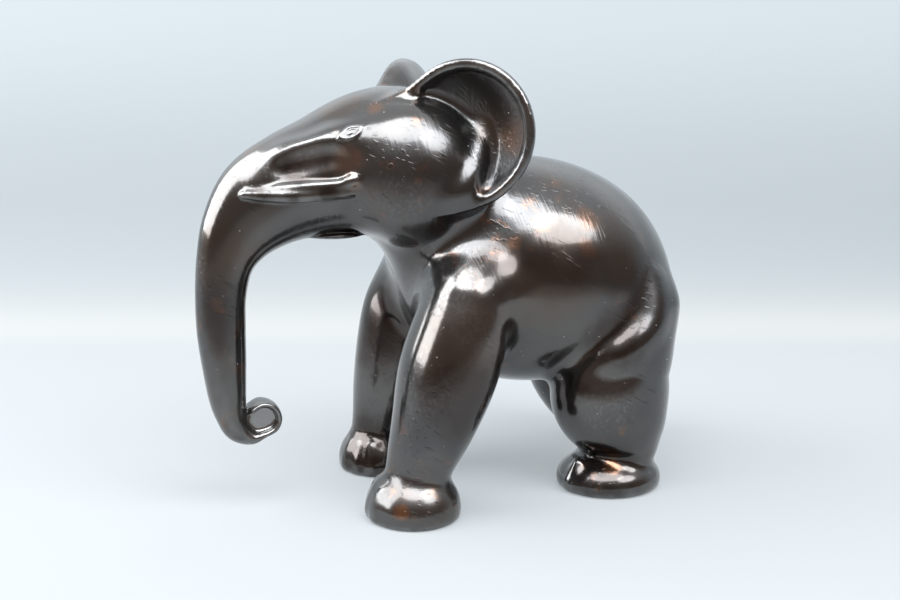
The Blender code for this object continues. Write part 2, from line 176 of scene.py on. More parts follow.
@dataclass(frozen=True)
class Tube:
    """A round-ended tube of changing width along a smooth path.

    A section's width is measured along X. Its outer half is above a run towards -Y and in
    front of a run downwards, and its inner half is on the other side.
    """

    sections: tuple[Section, ...]
    steps: int = 12
    beyond: float = 40.0

    def path(self) -> np.ndarray:
        """More sections, on the Catmull-Rom spline through the given ones."""
        rows = np.asarray(self.sections, float)
        rows = np.vstack([2 * rows[0] - rows[1], rows, 2 * rows[-1] - rows[-2]])
        t = np.arange(self.steps)[:, None] / self.steps
        spans = [0.5 * (2 * b + (c - a) * t + (2 * a - 5 * b + 4 * c - d) * t**2
                        + (3 * b - a - 3 * c + d) * t**3)
                 for a, b, c, d in zip(rows, rows[1:], rows[2:], rows[3:])]
        return np.vstack([*spans, rows[-2:-1]])

    def distance(self, points: np.ndarray) -> np.ndarray:
        """Signed distance in millimetres, negative inside."""
        path = self.path()
        far = path[:, 3:].max() + self.beyond
        low, high = path[:, :3].min(axis=0) - far, path[:, :3].max(axis=0) + far
        near = np.all((points > low) & (points < high), axis=1)
        local = points[near]
        best = np.full(len(local), far, points.dtype)
        for start, end in zip(path[:-1], path[1:]):
            best = np.minimum(best, self._segment(local, start, end))
        result = np.full(len(points), far, points.dtype)
        result[near] = best
        return result

    @staticmethod
    def _segment(points: np.ndarray, start: np.ndarray, end: np.ndarray) -> np.ndarray:
        """Distance to the straight stretch between two sections."""
        run = end[:3] - start[:3]
        length = np.linalg.norm(run)
        along = run / length
        across = np.array((1.0, 0.0, 0.0)) - along * along[0]
        across /= np.linalg.norm(across)
        axes = np.stack([across, np.cross(along, across), along], axis=1).astype(points.dtype)
        side, out, ahead = ((points - start[:3].astype(points.dtype)) @ axes).T
        part = np.clip(ahead / length, 0.0, 1.0)
        size = (start[3:] + part[:, None] * (end[3:] - start[3:])).astype(points.dtype)
        thick = np.where(out > 0.0, size[:, 1], size[:, 2])
        cap = 0.5 * (size[:, 1] + size[:, 2])
        scaled = np.stack([side / size[:, 0], out / thick, (ahead - part * length) / cap])
        reach = np.sqrt((scaled**2).sum(axis=0)) + 1e-6
        slope = np.sqrt(((scaled / np.stack([size[:, 0], thick, cap])) ** 2).sum(axis=0)) + 1e-9
        return reach * (reach - 1.0) / slope


@dataclass(frozen=True)
class Bump:
    """A smooth rise of an outline round one direction."""

    reach: float
    angle: float
    spread: float

    def at(self, angles: np.ndarray) -> np.ndarray:
        """Height of the rise at each angle."""
        middle = math.radians(self.angle)
        turn = (angles - middle + math.pi) % (2 * math.pi) - math.pi
        return self.reach * np.exp(-((turn / math.radians(self.spread)) ** 2))


@dataclass(frozen=True)
class Ear:
    """A dished leaf with a beaded rim, standing out from the head at 45 degrees."""

    centre: Vec3 = (56.0, 38.5, 254.7)
    radius: float = 46.0
    depth: float = 19.0
    half_wall: float = 2.6
    bead: float = 3.4
    power: float = 2.4
    steepest: float = 1.6
    root: Bump = Bump(13.0, 178.0, 26.0)
    lobe: Bump = Bump(3.4, -88.0, 28.0)

    def distance(self, points: np.ndarray) -> np.ndarray:
        """Signed distance in millimetres, negative inside."""
        half = math.sqrt(0.5)
        offset = points - np.asarray(self.centre, points.dtype)
        outward = (offset[:, 0] + offset[:, 1]) * half
        facing = (offset[:, 0] - offset[:, 1]) * half
        upward = offset[:, 2]
        spread = np.hypot(outward, upward)
        angle = np.arctan2(upward, outward)
        radius = self.radius + self.root.at(angle) + self.lobe.at(angle)
        share = np.clip(spread / radius, 0.0, 1.3)
        dish = -self.depth * (1.0 - share**self.power)
        slope = self.power * self.depth * share ** (self.power - 1.0) / radius
        steepness = np.sqrt(1.0 + np.minimum(slope, self.steepest) ** 2)
        leaf = np.abs(facing - dish) / steepness - self.half_wall
        leaf = trim(leaf, spread - radius + 1.0, 2.0)
        rim = np.hypot(spread - radius + self.bead, facing - 1.0) - self.bead
        return melt(leaf, rim, 4.0)


@dataclass(frozen=True)
class TrunkRoll:
    """The tip of the trunk: once round under itself, thinning to an edge, with a core."""

    y: float = -88.7
    z: float = 62.2
    radius: float = 12.0
    half_width: float = 9.6
    turns: tuple[float, ...] = (-88.0, -42.0, 2.0, 48.0, 92.0, 138.0)
    thick: float = 3.2
    thin: float = 2.1
    core_radius: float = 10.5
    core_half_width: float = 4.6

    def sections(self) -> tuple[Section, ...]:
        """Sections that go on from the end of the hanging trunk."""
        sizes = np.linspace(self.thick, self.thin, len(self.turns))
        return tuple(Section(0.0, self.y + math.cos(math.radians(turn)) * (self.radius - size / 2),
                             self.z + math.sin(math.radians(turn)) * (self.radius - size / 2),
                             self.half_width, size, size)
                     for turn, size in zip(self.turns, sizes))

    def distance(self, points: np.ndarray) -> np.ndarray:
        """Signed distance to the recessed core, negative inside."""
        disc = np.hypot(points[:, 1] - self.y, points[:, 2] - self.z) - self.core_radius
        return trim(disc, np.abs(points[:, 0]) - self.core_half_width, 2.0)


@dataclass(frozen=True)
class Leg:
    """A leg on its flared foot, with toes raised on the front."""

    sections: tuple[Section, ...]
    foot: Vec3
    foot_width: float
    foot_length: float
    foot_height: float
    toes_turned: float
    toes: tuple[int, ...] = (-1, 0, 1)
    toe_spread: float = 21.0

    def distance(self, points: np.ndarray) -> np.ndarray:
        """Signed distance in millimetres, negative inside."""
        flare = Ellipsoid(self.foot, (self.foot_width, self.foot_length, self.foot_height))
        form = melt(Tube(self.sections).distance(points), flare.distance(points), 5.0)
        for place in self.toes:
            angle = math.radians(self.toes_turned + place * self.toe_spread)
            toe = [(self.foot[0] + math.sin(angle) * (self.foot_width - inset),
                    self.foot[1] - math.cos(angle) * (self.foot_length - inset), z, radius)
                   for inset, z, radius in ((9.0, 21.0, 3.2), (4.0, 6.0, 3.8))]
            form = melt(form, Tube(rounded(*toe), 1).distance(points), 6.0)
        return form


# ---------------------------------------------------------------------------
# The whole animal
# ---------------------------------------------------------------------------
TORSO = Tube(central(
    (69, 166, 54, 57, 57), (95, 152, 78, 78, 82), (132, 144, 82, 75, 81),
    (155, 127, 78, 60, 68), (169, 112, 65, 49, 53.5)))
ROLL = TrunkRoll()
HEAD_AND_TRUNK = Tube(central(
    (52, 196, 50, 46, 50), (17, 221, 57, 58.5, 48), (-5, 227, 50, 54.5, 45),
    (-35, 227, 41, 40.5, 42), (-60, 219, 33, 37, 36), (-80, 206, 26.5, 36.5, 28),
    (-96, 190, 21, 29, 21), (-106, 172, 17.5, 22.2, 16), (-111.5, 150, 14.8, 18.4, 15.2),
    (-114, 127, 14, 16, 16.4), (-115, 105, 13.8, 12.8, 17), (-113.5, 80, 12.6, 10.6, 14.6),
    (-111, 66, 11.2, 8.8, 11.6), (-106, 56, 10.2, 8.2, 9.4), (-97, 50, 9.8, 5.4, 6))
    + ROLL.sections())
BROW = Tube(rounded(
    (33, -14, 248, 11), (31, -39, 249, 8.5), (26.5, -56.5, 244, 7), (20, -73, 238.5, 6),
    (18, -82, 231, 5), (17.5, -88, 224, 4)))
CHEEK_HOLLOW = Tube(rounded(
    (42, -50, 240.5, 5.2), (41, -58, 239.5, 7.8), (36.5, -69, 236.5, 7.8),
    (32, -77.5, 233.5, 5.2)))
TUSK = Tube(rounded(
    (41, -32, 218.5, 3.5), (40.5, -42, 217.5, 4.4), (33.5, -69.5, 215.7, 4.4),
    (27.5, -87, 215.8, 3.8), (21, -101, 216.3, 2.2)))
TUSK_LIP = Tube(rounded(
    (41.5, -26, 223.5, 3), (43.5, -34.5, 225, 4.2), (41.5, -43, 222.5, 3.4),
    (36, -60.5, 221.5, 3.0), (28.5, -81, 220, 2.6), (20.5, -97.5, 218.2, 1.6)))
HAUNCH = Tube(rounded(
    (64, 172, 148, 11), (74, 168, 123, 13), (79, 151, 107, 13), (75, 137, 97, 11.5),
    (60, 127, 88, 8)))
EAR_RIDGE = Tube(rounded(
    (46, 54, 254, 3), (50, 50.5, 246, 4.5), (53, 48, 238, 5.5), (55.5, 43.5, 230, 6.5),
    (57.5, 37.5, 221, 7.5), (58, 31, 215.5, 7.5), (56.5, 23, 213.5, 5.5)))
TAIL = Tube(rounded(
    (0, 203, 172, 6), (0, 216, 150, 5), (0, 221, 125, 4.5), (0, 221, 104, 4.5),
    (0, 218, 86, 5.4), (0, 214, 76, 2)))
TEMPLE = Ellipsoid((33.0, 13.0, 227.0), (31.0, 42.0, 43.0))
LIP = Ellipsoid((0.0, -35.0, 185.6), (20.0, 22.0, 3.4))
FORE_LEFT = Leg(limb(
    57, (38, 142, 29, 28, 31), (31, 120, 34, 31, 34), (24, 94, 35, 33, 33),
    (14.5, 64, 30.5, 28, 28), (5, 38, 24.5, 22.7, 22.7), (0, 18, 21, 21, 21)),
    (58, -0.8, 6.0), 32.8, 31.8, 28, -12)
FORE_RIGHT = Leg(limb(
    -46, (52, 142, 29, 33, 32), (42, 120, 33.5, 38.5, 35), (34, 94, 33, 37, 33),
    (24, 64, 29.5, 30.5, 27.5), (15, 38, 24, 22.7, 22.7), (11, 18, 21, 21, 21)),
    (-45, 13, 6.0), 32.5, 32, 28, 32)
HIND_LEFT = Leg(limb(
    54, (177, 127, 26, 23, 24.5), (162, 98, 35, 37, 35.5), (156.5, 84, 35.5, 39.5, 38.5),
    (150, 68, 37, 42, 46), (155, 49, 36, 31.5, 39), (162, 33, 31, 23.5, 26),
    (158, 20, 29, 26, 23.5)),
    (57, 150.5, 6.0), 35.3, 38, 20, 12, (0,))
HIND_RIGHT = Leg(limb(
    -44, (181, 124, 24, 24, 24), (176, 98, 35, 40, 39), (180, 72, 36, 44, 42),
    (190, 52, 34, 43, 37), (204, 33, 30, 38, 31), (211, 20, 29, 33, 30)),
    (-43, 212, 6.0), 34, 37, 20, -10, (0,))


@dataclass(frozen=True)
class Eye:
    """An almond ring of lid with a low dome inside it, raised out of the head's surface."""

    centre: Vec3 = (40.3, -34.7, 255.1)
    outward: Vec3 = (0.81, -0.35, 0.46)
    forward: Vec3 = (0.25, -0.93, -0.20)
    half_length: float = 7.6
    half_height: float = 3.6
    lid: float = 1.1
    lid_width: float = 1.1
    dome: float = 0.7

    def relief(self, points: np.ndarray) -> np.ndarray:
        """Height of the lid and the dome above the surface, in millimetres."""
        out = Vector(self.outward).normalized()
        ahead = Vector(self.forward)
        ahead = (ahead - out * ahead.dot(out)).normalized()
        axes = np.array([ahead, out.cross(ahead), out], points.dtype).T
        along, up, depth = ((points - np.asarray(self.centre, points.dtype)) @ axes).T
        bow = 1.0 - 0.35 * np.clip(np.abs(along) / self.half_length, 0.0, 1.5) ** 2
        reach = np.hypot(along / self.half_length, up / (self.half_height * bow))
        ring = self.lid * np.exp(-(((reach - 1.0) * self.half_height / self.lid_width) ** 2))
        dome = self.dome * np.clip(1.0 - (reach / 0.7) ** 2, 0.0, 1.0)
        return np.where(np.abs(depth) < 12.0, ring + dome, 0.0)


@dataclass(frozen=True)
class Elephant:
    """The whole figure as one form, from the soles up."""

    fore: tuple[Leg, Leg] = (FORE_LEFT, FORE_RIGHT)
    hind: tuple[Leg, Leg] = (HIND_LEFT, HIND_RIGHT)
    neck_blend: float = 20.0
    sole_bevel: float = 2.4

    def distance(self, points: np.ndarray) -> np.ndarray:
        """Signed distance in millimetres, negative inside."""
        points = points.astype(np.float32)
        folded = mirrored(points)
        height = points[:, 2]
        body = melt(TORSO.distance(points), self._head(points, folded), self.neck_blend)
        ear = melt(Ear().distance(folded), EAR_RIDGE.distance(folded), 10.0)
        body = melt(body, ear, 9.0)
        fore = melt(*(leg.distance(points) for leg in self.fore), 6.0)
        hind = melt(*(leg.distance(points) for leg in self.hind), 8.0)
        body = melt(body, fore, np.interp(height, (98.0, 145.0), (9.0, 24.0)))
        body = melt(body, hind, np.interp(height, (80.0, 135.0), (10.0, 16.0)))
        body = melt(body, TAIL.distance(points), 3.0)
        body = melt(body, TUSK.distance(folded), 2.0)
        body = melt(body, TUSK_LIP.distance(folded), 3.0)
        body = melt(body, LIP.distance(points), 1.5)
        body = melt(body, HAUNCH.distance(points), 7.0)
        body = body - Eye().relief(folded)
        return trim(body, -height, self.sole_bevel)

    @staticmethod
    def _head(points: np.ndarray, folded: np.ndarray) -> np.ndarray:
        """Head and trunk in one, with temples, brows, hollow cheeks and the rolled tip."""
        skull = melt(HEAD_AND_TRUNK.distance(points), TEMPLE.distance(folded), 16.0)
        skull = melt(skull, BROW.distance(folded), 11.0)
        skull = trim(skull, -CHEEK_HOLLOW.distance(folded), 8.0)
        return melt(skull, ROLL.distance(points), 2.0)


# ---------------------------------------------------------------------------
# From distances to a skin
# ---------------------------------------------------------------------------
@dataclass
class SurfaceNet:
    """Samples a form on a grid and spans one closed skin of quads over its surface.

    Attributes:
        form: What is sampled.
        step: Spacing of the grid in millimetres.
        low: Lowest corner of the grid.
        high: Highest corner of the grid.
        halvings: How often the first, coarse grid is halved.
        values: The samples, once taken.
    """

    form: Form
    step: float = SKIN_STEP
    low: Vec3 = (-112.0, -144.0, -14.0)
    high: Vec3 = (112.0, 265.0, 312.0)
    halvings: int = 2
    values: np.ndarray = field(init=False, repr=False)

    def skin(self) -> tuple[np.ndarray, np.ndarray]:
        """Sample, extract and settle the surface.

        Returns:
            Vertices in millimetres, and quads as rows of four vertex numbers.
        """
        self._sample()
        self._untangle()
        vertices, quads = self._extract()
        return self.settle(vertices), quads

    def _points(self, step: float, counts: np.ndarray) -> np.ndarray:
        axes = [start + step * np.arange(count) for start, count in zip(self.low, counts)]
        return np.stack([axis.ravel() for axis in np.meshgrid(*axes, indexing="ij")], axis=1)

    def _sample(self) -> None:
        """Sample coarsely everywhere, then twice finer near the surface only."""
        step = self.step * 2**self.halvings
        counts = np.ceil((np.array(self.high) - self.low) / step).astype(int) + 1
        values = self.form.distance(self._points(step, counts)).reshape(counts)
        for _ in range(self.halvings):
            finer = np.zeros(2 * counts - 1, np.float32)
            finer[::2, ::2, ::2] = values
            finer[1::2, ::2, ::2] = (finer[:-1:2, ::2, ::2] + finer[2::2, ::2, ::2]) / 2
            finer[:, 1::2, ::2] = (finer[:, :-1:2, ::2] + finer[:, 2::2, ::2]) / 2
            finer[:, :, 1::2] = (finer[:, :, :-1:2] + finer[:, :, 2::2]) / 2
            near = np.abs(finer) < 1.5 * step
            step, counts = step / 2, 2 * counts - 1
            finer[near] = self.form.distance(self._points(step, counts)[near.ravel()])
            values = finer
        self.values = values

    def _untangle(self) -> None:
        """Flip the least certain corner wherever the skin would touch itself."""
        values = self.values
        unit = np.eye(3, dtype=int)
        squares = [(0 * unit[0], unit[i], unit[j], unit[i] + unit[j])
                   for i, j in ((0, 1), (1, 2), (0, 2))]
        cube = [np.array(corner) for corner in np.ndindex(2, 2, 2)]
        limit = np.array(values.shape) - 1
        for _ in range(30):
            inside = values < 0.0
            changed = 0
            for corners in (*squares, cube):
                signs = [inside[tuple(slice(c, n + c) for c, n in zip(corner, limit))]
                         for corner in corners]
                number = sum(sign.astype(np.int8) for sign in signs)
                opposite = [signs[i] == signs[-1 - i] for i in range(len(signs) // 2)]
                few = (number == 2) | (number == len(signs) - 2)
                start = np.argwhere(few & np.all(opposite, axis=0))
                if not len(start):
                    continue
                places = np.stack([start + corner for corner in corners])
                least = np.abs(values[tuple(np.moveaxis(places, -1, 0))]).argmin(axis=0)
                chosen = tuple(places[least, np.arange(len(start))].T)
                values[chosen] = np.where(values[chosen] < 0.0, 0.05, -0.05) * self.step
                changed += len(start)
            if not changed:
                return

    def _extract(self) -> tuple[np.ndarray, np.ndarray]:
        """One vertex for each cell that the surface passes, one quad for each crossed edge."""
        values = self.values
        inside = values < 0.0
        counts = np.array(values.shape)
        corners = sum(inside[tuple(slice(c, n - 1 + c) for c, n in zip(corner, counts))]
                      .astype(np.int8) for corner in np.ndindex(2, 2, 2))
        crossed = (corners > 0) & (corners < 8)
        cells = np.argwhere(crossed)
        number = np.full(counts - 1, -1)
        number[crossed] = np.arange(len(cells))
        total, hits = np.zeros((len(cells), 3)), np.zeros(len(cells))
        unit = np.eye(3, dtype=int)
        quads = []
        for axis in range(3):
            first, second = unit[(axis + 1) % 3], unit[(axis + 2) % 3]
            for j, k in ((0, 0), (0, 1), (1, 0), (1, 1)):
                start = cells + j * first + k * second
                here, there = values[tuple(start.T)], values[tuple((start + unit[axis]).T)]
                crosses = (here < 0) != (there < 0)
                place = start + unit[axis] * (here / np.where(crosses, here - there, 1.0))[:, None]
                total[crosses] += place[crosses]
                hits[crosses] += 1
            near, beyond = [slice(1, -1)] * 3, [slice(1, -1)] * 3
            near[axis], beyond[axis] = slice(0, -1), slice(1, None)
            here, there = inside[tuple(near)], inside[tuple(beyond)]
            for leaving, order in ((here & ~there, 1), (~here & there, -1)):
                edges = np.argwhere(leaving) + first + second
                ring = [number[tuple((edges + j * first + k * second).T)]
                        for j, k in ((0, 0), (-1, 0), (-1, -1), (0, -1))[::order]]
                quads.append(np.stack(ring, axis=1))
        return np.array(self.low) + self.step * total / hits[:, None], np.vstack(quads)

    def settle(self, vertices: np.ndarray, rounds: int = 2) -> np.ndarray:
        """Move vertices along the slope of the field, onto its surface."""
        for _ in range(rounds):
            slope = self.slope(vertices, 0.5)
            square = np.maximum((slope**2).sum(axis=1), 0.25)
            push = np.clip(self.form.distance(vertices) / square, -1.5, 1.5)
            vertices = vertices - push[:, None] * slope
        return vertices

    def slope(self, vertices: np.ndarray, reach: float) -> np.ndarray:
        """Slope of the field at each vertex, over a given reach to either side."""
        return np.stack([self.form.distance(vertices + axis) - self.form.distance(vertices - axis)
                         for axis in reach * np.eye(3)], axis=1) / (2 * reach)


# ---------------------------------------------------------------------------
# Finishes
# ---------------------------------------------------------------------------
class Tone(Enum):
    """The colours that the lustre glaze runs between, as it reflects light head on. Umber also
    paints shade, and pewter paints a highlight, in patches.
    """

    BRONZE = (0.112, 0.106, 0.101, 1.0)
    SMOKE = (0.076, 0.075, 0.076, 1.0)
    BROWN = (0.104, 0.083, 0.070, 1.0)
    # Umber is also painted shade, in patches.
    UMBER_AND_SHADE = (0.047, 0.038, 0.034, 1.0)
    COPPER = (0.330, 0.145, 0.065, 1.0)
    # Pewter is also a painted highlight, in the core of the trunk's roll.
    PEWTER_AND_SHEEN = (0.260, 0.255, 0.250, 1.0)


class Grain(Enum):
    """Loose or fired-in grains that lie on the glaze."""

    DUST = "dust"
    PIT = "pit"


@dataclass(frozen=True)
class GlazeFinish:
    """How the lustre glaze shines, how its tones are spread, and how deep its relief is.

    Scales are those of noise textures, shares are between 0 and 1, and depths are in metres.
    """

    name: str = "lustre_glaze"
    metallic: float = 0.94
    roughness: tuple[float, float] = (0.14, 0.29)
    coat: float = 0.45
    coat_roughness: float = 0.06
    cloud_scale: float = 11.0
    stain_scale: float = 16.0
    fleck_scale: float = 70.0
    fleck_area_scale: float = 13.0
    fleck_share: float = 0.36
    wear_scale: float = 90.0
    wear_share: float = 0.35
    line_share: float = 0.5
    dull_share: float = 0.35
    dull_scale: float = 18.0
    streak_depth: float = 0.00014
    low_streaks: float = 0.25
    hatch_depth: float = 0.00013
    pit_depth: float = 0.00022


@dataclass(frozen=True)
class ReliefPattern:
    """The textures of the fine relief: scales, turns in degrees, and how far each is drawn out."""

    streak_scale: float = 500.0
    streak_turn: Vec3 = (8.0, 0.0, 0.0)
    streak_stretch: Vec3 = (14.0, 1.0, 14.0)
    hatch_scale: float = 430.0
    hatch_turn: Vec3 = (-30.0, 0.0, 0.0)
    hatch_stretch: Vec3 = (1.0, 9.0, 1.0)
    hatch_area_scale: float = 22.0
    pit_scale: float = 170.0
    pit_area_scale: float = 60.0


@dataclass(frozen=True)
class PlainFinish:
    """A flat, even surface."""

    name: str
    colour: Rgba
    roughness: float


@dataclass(frozen=True)
class Patch:
    """A soft round area on the glaze, in millimetres: a tone of the glaze, painted shade or a
    painted highlight.
    """

    centre: Vec3
    radius: float
    tone: Tone
    strength: float = 1.0
    speckle: float = 0.0


def patches(tone: Tone, *rows: Sequence[float]) -> tuple[Patch, ...]:
    """Patches of one tone, from rows of x, y, z, radius, strength and any speckle."""
    return tuple(Patch((x, y, z), radius, tone, *rest) for x, y, z, radius, *rest in rows)


@dataclass(frozen=True)
class Scatter:
    """One scattering of grains over the skin: so many to a square metre, sizes in millimetres."""

    grain: Grain
    finish: PlainFinish
    density: float
    size: tuple[float, float]
    seed: int


GLAZE = GlazeFinish()
RELIEF = ReliefPattern()

# A patch lies over the ones before it. Besides the glaze's own tones, the umber patches are
# painted shade and one pewter patch is a painted highlight.
TONE_SHADE_AND_HIGHLIGHT_PATCHES = (
    *patches(Tone.BROWN, (82, 30, 118, 44, 0.8), (76, 90, 160, 46, 0.8), (80, 150, 190, 38, 0.5),
            (12, -118, 176, 30, 0.7), (12, -34, 272, 24, 0.8), (60, 64, 258, 24, 0.9)),
    # Painted shade: darker patches on the near fore leg, the flank, the far leg and fore foot, the
    # trunk's front and below the ear.
    *patches(Tone.UMBER_AND_SHADE, (88, 24, 84, 40, 0.85), (80, 100, 172, 34, 0.6), (-36, 4, 112, 50, 1),
            (-36, -14, 20, 26, 0.9), (14, -114, 140, 34, 0.5), (60, 0, 218, 26, 0.3)),
    *patches(Tone.PEWTER_AND_SHEEN, (60, -8, 216, 26, 0.22, 0.7)),
    # Painted shade: under the throat, along the tusk, under the jaw and in the crease in front of
    # the hind leg.
    *patches(Tone.UMBER_AND_SHADE, (28, 0, 176, 34, 0.6), (39.5, -50, 216.5, 9, 0.9),
            (33, -71, 215, 9, 0.9), (26, -92, 215.5, 8, 0.9), (24, -22, 189, 17, 1),
            (66, 112, 76, 20, 0.9)),
    *patches(Tone.PEWTER_AND_SHEEN, (60, 24, 162, 34, 0.34, 1), (84, 130, 70, 34, 0.2, 1),
            (76, -4, 96, 34, 0.14, 1)),
    # Painted shade on the flank behind the shoulder, dimming a highlight there.
    *patches(Tone.UMBER_AND_SHADE, (75, 50, 166, 26, 0.7), (69, 66, 178, 20, 0.95)),
    *patches(Tone.PEWTER_AND_SHEEN, (86, 30, 134, 28, 0.3, 0.6), (80, 0, 38, 28, 0.12),
            (-49, 44, 296, 26, 0.55)),
    # Painted shade on the top of the near hind foot, dimming its highlight.
    *patches(Tone.UMBER_AND_SHADE, (78, 138, 21, 28, 0.95)),
    *patches(Tone.COPPER, (78, 140, 20, 9, 0.45), (68, 68, 183, 7, 0.2)),
    # Painted shade in the cheek hollow, dimming the light reflected there.
    *patches(Tone.UMBER_AND_SHADE, (26, -66, 230, 17, 1), (32, -50, 231, 12, 0.8)),
    *patches(Tone.PEWTER_AND_SHEEN, (32, -62, 242, 15, 0.45, 0.4), (47, -42, 240, 17, 0.45, 0.3)),
    # Painted shade on the haunch ridge and the far fore foot, dimming their highlights.
    *patches(Tone.UMBER_AND_SHADE, (84, 139, 115, 28, 0.95), (-28, -8, 22, 34, 1)),
    # Painted highlight inside the trunk's rolled tip.
    *patches(Tone.PEWTER_AND_SHEEN, (5, -88, 63, 15, 0.9)),
    *patches(Tone.COPPER, (70, 124, 198, 13, 0.3), (47, -42, 239, 14, 0.35),
            (70, 66, 252, 16, 0.2), (44, 8, 280, 10, 0.6), (30, -14, 268, 9, 0.35),
            (76, 22, 106, 13, 0.3), (84, 118, 178, 12, 0.3), (85, -20, 14, 8, 0.7)),
)
SCATTERS = (
    Scatter(Grain.DUST, PlainFinish("dust", (0.75, 0.74, 0.70, 1.0), 0.8),
            900.0, (0.10, 0.30), 5),
    Scatter(Grain.PIT, PlainFinish("pit", (0.025, 0.020, 0.018, 1.0), 0.6),
            450.0, (0.12, 0.34), 9),
)


# ---------------------------------------------------------------------------
# Shader building
# ---------------------------------------------------------------------------
class Shader:
    """Adds and links nodes in one shader tree."""

    def __init__(self, tree: bpy.types.NodeTree) -> None:
        self.tree = tree

    def add(self, kind: str, **settings: object) -> bpy.types.Node:
        """Add a node.

        Args:
            kind: Blender's type name of the node.
            settings: Properties of the node to set.

        Returns:
            The new node.
        """
        node = self.tree.nodes.new(kind)
        for name, value in settings.items():
            setattr(node, name, value)
        return node

    def feed(self, socket: bpy.types.NodeSocket, value: object) -> None:
        """Link a socket to another, or set its value."""
        if isinstance(value, bpy.types.NodeSocket):
            self.tree.links.new(value, socket)
        else:
            socket.default_value = value

    def math(self, operation: str, *values: object, clamp: bool = False) -> bpy.types.NodeSocket:
        """A Math node over values or sockets."""
        node = self.add("ShaderNodeMath", operation=operation, use_clamp=clamp)
        for socket, value in zip(node.inputs, values):
            self.feed(socket, value)
        return node.outputs[0]

    def noise(self, vector: object, scale: float, detail: float = 2.0,
              roughness: float = 0.5) -> bpy.types.NodeSocket:
        """A Noise Texture's value."""
        node = self.add("ShaderNodeTexNoise")
        self.feed(node.inputs["Vector"], vector)
        for name, value in (("Scale", scale), ("Detail", detail), ("Roughness", roughness)):
            node.inputs[name].default_value = value
        return node.outputs["Fac"]

    def band(self, value: object, low: float, high: float,
             to: tuple[float, float] = (0.0, 1.0)) -> bpy.types.NodeSocket:
        """A smooth step of a value from one range to another."""
        node = self.add("ShaderNodeMapRange", interpolation_type="SMOOTHSTEP")
        for socket, item in zip(node.inputs, (value, low, high, *to)):
            self.feed(socket, item)
        return node.outputs[0]

    def mix(self, share: object, first: object, second: object) -> bpy.types.NodeSocket:
        """A colour mix."""
        node = self.add("ShaderNodeMix", data_type="RGBA")
        sockets = [node.inputs[0], node.inputs[6], node.inputs[7]]
        for socket, value in zip(sockets, (share, first, second)):
            self.feed(socket, value)
        return node.outputs[2]

    def stretched(self, vector: object, turn: Vec3, scale: Vec3) -> bpy.types.NodeSocket:
        """Coordinates turned and stretched."""
        node = self.add("ShaderNodeMapping", vector_type="TEXTURE")
        self.feed(node.inputs["Vector"], vector)
        node.inputs["Rotation"].default_value = [math.radians(angle) for angle in turn]
        node.inputs["Scale"].default_value = scale
        return node.outputs[0]


def new_group(name: str, inputs: dict[str, str], outputs: dict[str, str]) -> tuple[
        bpy.types.NodeTree, Shader, bpy.types.Node, bpy.types.Node]:
    """Start a shader node group.

    Args:
        name: Name of the group.
        inputs: Socket types of the inputs by name.
        outputs: Socket types of the outputs by name.

    Returns:
        The tree, a builder for it, its input node and its output node.
    """
    tree = bpy.data.node_groups.new(name, "ShaderNodeTree")
    for side, sockets in (("INPUT", inputs), ("OUTPUT", outputs)):
        for label, kind in sockets.items():
            tree.interface.new_socket(label, in_out=side, socket_type=kind)
    shader = Shader(tree)
    return tree, shader, shader.add("NodeGroupInput"), shader.add("NodeGroupOutput")


